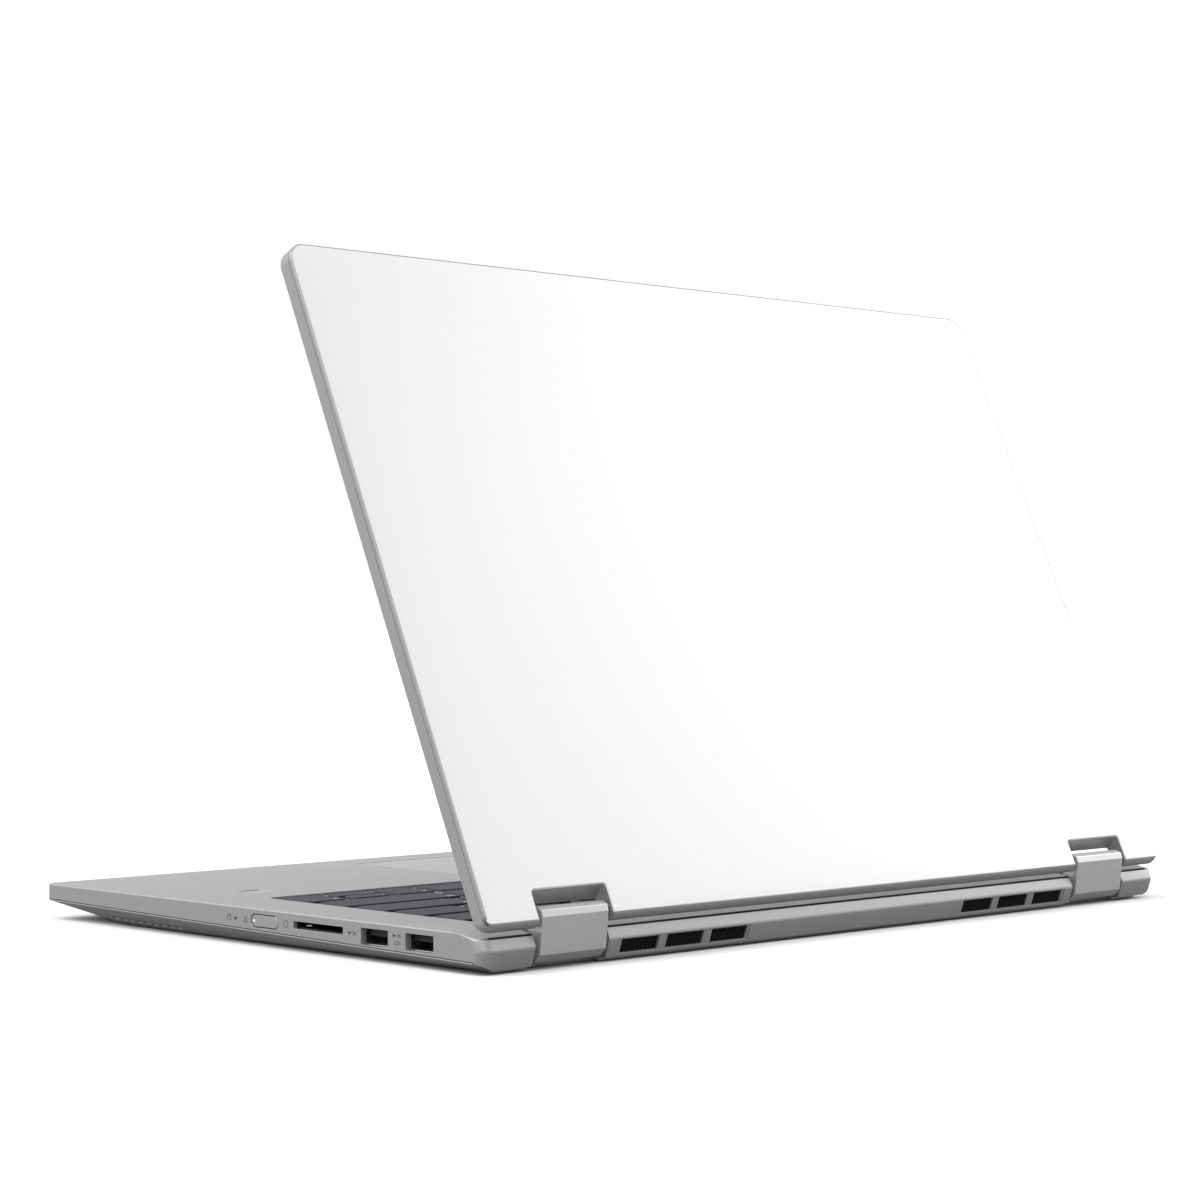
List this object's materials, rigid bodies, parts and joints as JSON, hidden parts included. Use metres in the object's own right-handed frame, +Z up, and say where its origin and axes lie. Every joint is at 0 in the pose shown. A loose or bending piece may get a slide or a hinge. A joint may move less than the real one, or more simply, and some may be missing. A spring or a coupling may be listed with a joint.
{
  "type": "laptop computer",
  "caption": "Thin two-in-one laptop computer, open, with a white lid on two twin-axis hinges, a keyboard, touchpad and side ports.",
  "frame": {"origin": "on the table, under the middle of the footprint (bottom centre of the open laptop)", "axes": "+X to the user's right, +Y from the user towards the hinges, +Z up"},
  "size_m": [0.328, 0.2234, 0.2166],
  "materials": {
    "silver_shell": "fine bead-blasted silver",
    "underside": "matt grey",
    "white_panel": "smooth white, satin",
    "hinge_silver": "satin silver",
    "satin_silver": "satin silver",
    "key_slate": "matt slate",
    "rubber": "matt black",
    "port_steel": "plain steel",
    "black_plastic": "matt black",
    "circuit_board": "satin solder mask",
    "copper": "bare copper",
    "display_glass": "glossy black glass"
  },
  "bodies": {
    "base": {"top_case": "silver_shell", "bottom_cover": "underside", "fingerprint_reader": "satin_silver", "rear_foot": "rubber", "front_foot_right": "rubber", "front_foot_left": "rubber", "usb_a_port_front": "port_steel", "usb_a_port_rear": "port_steel", "card_reader": "port_steel", "hdmi_port": "port_steel", "usb_c_port": "port_steel", "keyboard_plate": "port_steel", "base_hinge_arm_right": "port_steel", "base_hinge_arm_left": "port_steel", "power_jack": "black_plastic", "audio_jack": "black_plastic", "battery_pack": "black_plastic", "speaker_right": "black_plastic", "speaker_left": "black_plastic", "fan_housing": "black_plastic", "mainboard": "circuit_board", "io_board": "circuit_board", "ssd_module": "circuit_board", "wifi_card": "circuit_board", "heat_pipe": "copper", "fin_stack": "copper"},
    "hinge_links": {"hinge_cover_right": "hinge_silver", "hinge_cover_left": "hinge_silver", "hinge_core_right": "port_steel", "hinge_core_left": "port_steel"},
    "lid": {"lid_frame": "silver_shell", "lid_cover": "silver_shell", "lid_outer_panel": "white_panel", "screen_glass": "display_glass", "display_panel": "black_plastic", "webcam_module": "black_plastic", "lid_hinge_arm_right": "port_steel", "lid_hinge_arm_left": "port_steel"},
    "touchpad": {"touchpad": "satin_silver"},
    "power_button": {"power_button": "satin_silver"},
    "reset_button": {"reset_button": "black_plastic"},
    "fan_rotor": {"fan_rotor": "black_plastic"},
    "keys_function_row": {"keys_function_row": "key_slate"},
    "keys_number_row": {"keys_number_row": "key_slate"},
    "key_backspace": {"key_backspace": "key_slate"},
    "key_tab": {"key_tab": "key_slate"},
    "keys_upper_row": {"keys_upper_row": "key_slate"},
    "key_caps_lock": {"key_caps_lock": "key_slate"},
    "keys_home_row": {"keys_home_row": "key_slate"},
    "key_enter": {"key_enter": "key_slate"},
    "key_shift_left": {"key_shift_left": "key_slate"},
    "keys_lower_row": {"keys_lower_row": "key_slate"},
    "key_shift_right": {"key_shift_right": "key_slate"},
    "keys_modifiers_left": {"keys_modifiers_left": "key_slate"},
    "key_space": {"key_space": "key_slate"},
    "keys_modifiers_right": {"keys_modifiers_right": "key_slate"},
    "key_arrow_left": {"key_arrow_left": "key_slate"},
    "key_arrow_right": {"key_arrow_right": "key_slate"},
    "key_arrow_down": {"key_arrow_down": "key_slate"},
    "key_arrow_up": {"key_arrow_up": "key_slate"}
  },
  "joints": [
    {"name": "base_hinge", "type": "hinge", "parent": "base", "child": "hinge_links", "pos_m": [0, 0.1074, 0.006], "axis": [-1, 0, 0], "range_deg": [0, 180]},
    {"name": "lid_hinge", "type": "hinge", "parent": "hinge_links", "child": "lid", "pos_m": [0, 0.10835, 0.0152], "axis": [-1, 0, 0], "range_deg": [-65.5, 114.5]},
    {"name": "touchpad_click", "type": "hinge", "parent": "base", "child": "touchpad", "pos_m": [-0.0117, -0.026, 0.011], "axis": [1, 0, 0], "range_deg": [0, 0.35], "stiffness_Nm_per_rad": 8, "springref_deg": -0.23},
    {"name": "power_button_press", "type": "slide", "parent": "base", "child": "power_button", "axis": [-1, 0, 0], "range_m": [0, 0.0004], "stiffness_N_per_m": 1200, "springref_m": -0.0003},
    {"name": "reset_button_press", "type": "slide", "parent": "base", "child": "reset_button", "axis": [-1, 0, 0], "range_m": [0, 0.0003], "stiffness_N_per_m": 1200, "springref_m": -0.0003},
    {"name": "fan_spin", "type": "hinge", "parent": "base", "child": "fan_rotor", "pos_m": [0.081, 0.068, 0.00485], "axis": [0, 0, 1], "continuous": true},
    {"name": "function_row_press", "type": "slide", "parent": "base", "child": "keys_function_row", "axis": [0, 0, -1], "range_m": [0, 0.0013], "stiffness_N_per_m": 800, "springref_m": -0.0006},
    {"name": "number_row_press", "type": "slide", "parent": "base", "child": "keys_number_row", "axis": [0, 0, -1], "range_m": [0, 0.0013], "stiffness_N_per_m": 800, "springref_m": -0.0006},
    {"name": "backspace_press", "type": "slide", "parent": "base", "child": "key_backspace", "axis": [0, 0, -1], "range_m": [0, 0.0013], "stiffness_N_per_m": 400, "springref_m": -0.0006},
    {"name": "tab_press", "type": "slide", "parent": "base", "child": "key_tab", "axis": [0, 0, -1], "range_m": [0, 0.0013], "stiffness_N_per_m": 400, "springref_m": -0.0006},
    {"name": "upper_row_press", "type": "slide", "parent": "base", "child": "keys_upper_row", "axis": [0, 0, -1], "range_m": [0, 0.0013], "stiffness_N_per_m": 800, "springref_m": -0.0006},
    {"name": "caps_lock_press", "type": "slide", "parent": "base", "child": "key_caps_lock", "axis": [0, 0, -1], "range_m": [0, 0.0013], "stiffness_N_per_m": 400, "springref_m": -0.0006},
    {"name": "home_row_press", "type": "slide", "parent": "base", "child": "keys_home_row", "axis": [0, 0, -1], "range_m": [0, 0.0013], "stiffness_N_per_m": 800, "springref_m": -0.0006},
    {"name": "enter_press", "type": "slide", "parent": "base", "child": "key_enter", "axis": [0, 0, -1], "range_m": [0, 0.0013], "stiffness_N_per_m": 400, "springref_m": -0.0006},
    {"name": "shift_left_press", "type": "slide", "parent": "base", "child": "key_shift_left", "axis": [0, 0, -1], "range_m": [0, 0.0013], "stiffness_N_per_m": 400, "springref_m": -0.0006},
    {"name": "lower_row_press", "type": "slide", "parent": "base", "child": "keys_lower_row", "axis": [0, 0, -1], "range_m": [0, 0.0013], "stiffness_N_per_m": 800, "springref_m": -0.0006},
    {"name": "shift_right_press", "type": "slide", "parent": "base", "child": "key_shift_right", "axis": [0, 0, -1], "range_m": [0, 0.0013], "stiffness_N_per_m": 400, "springref_m": -0.0006},
    {"name": "modifiers_left_press", "type": "slide", "parent": "base", "child": "keys_modifiers_left", "axis": [0, 0, -1], "range_m": [0, 0.0013], "stiffness_N_per_m": 800, "springref_m": -0.0006},
    {"name": "space_press", "type": "slide", "parent": "base", "child": "key_space", "axis": [0, 0, -1], "range_m": [0, 0.0013], "stiffness_N_per_m": 400, "springref_m": -0.0006},
    {"name": "modifiers_right_press", "type": "slide", "parent": "base", "child": "keys_modifiers_right", "axis": [0, 0, -1], "range_m": [0, 0.0013], "stiffness_N_per_m": 800, "springref_m": -0.0006},
    {"name": "arrow_left_press", "type": "slide", "parent": "base", "child": "key_arrow_left", "axis": [0, 0, -1], "range_m": [0, 0.0013], "stiffness_N_per_m": 400, "springref_m": -0.0006},
    {"name": "arrow_right_press", "type": "slide", "parent": "base", "child": "key_arrow_right", "axis": [0, 0, -1], "range_m": [0, 0.0013], "stiffness_N_per_m": 400, "springref_m": -0.0006},
    {"name": "arrow_down_press", "type": "slide", "parent": "base", "child": "key_arrow_down", "axis": [0, 0, -1], "range_m": [0, 0.0013], "stiffness_N_per_m": 400, "springref_m": -0.0006},
    {"name": "arrow_up_press", "type": "slide", "parent": "base", "child": "key_arrow_up", "axis": [0, 0, -1], "range_m": [0, 0.0013], "stiffness_N_per_m": 400, "springref_m": -0.0006}
  ]
}
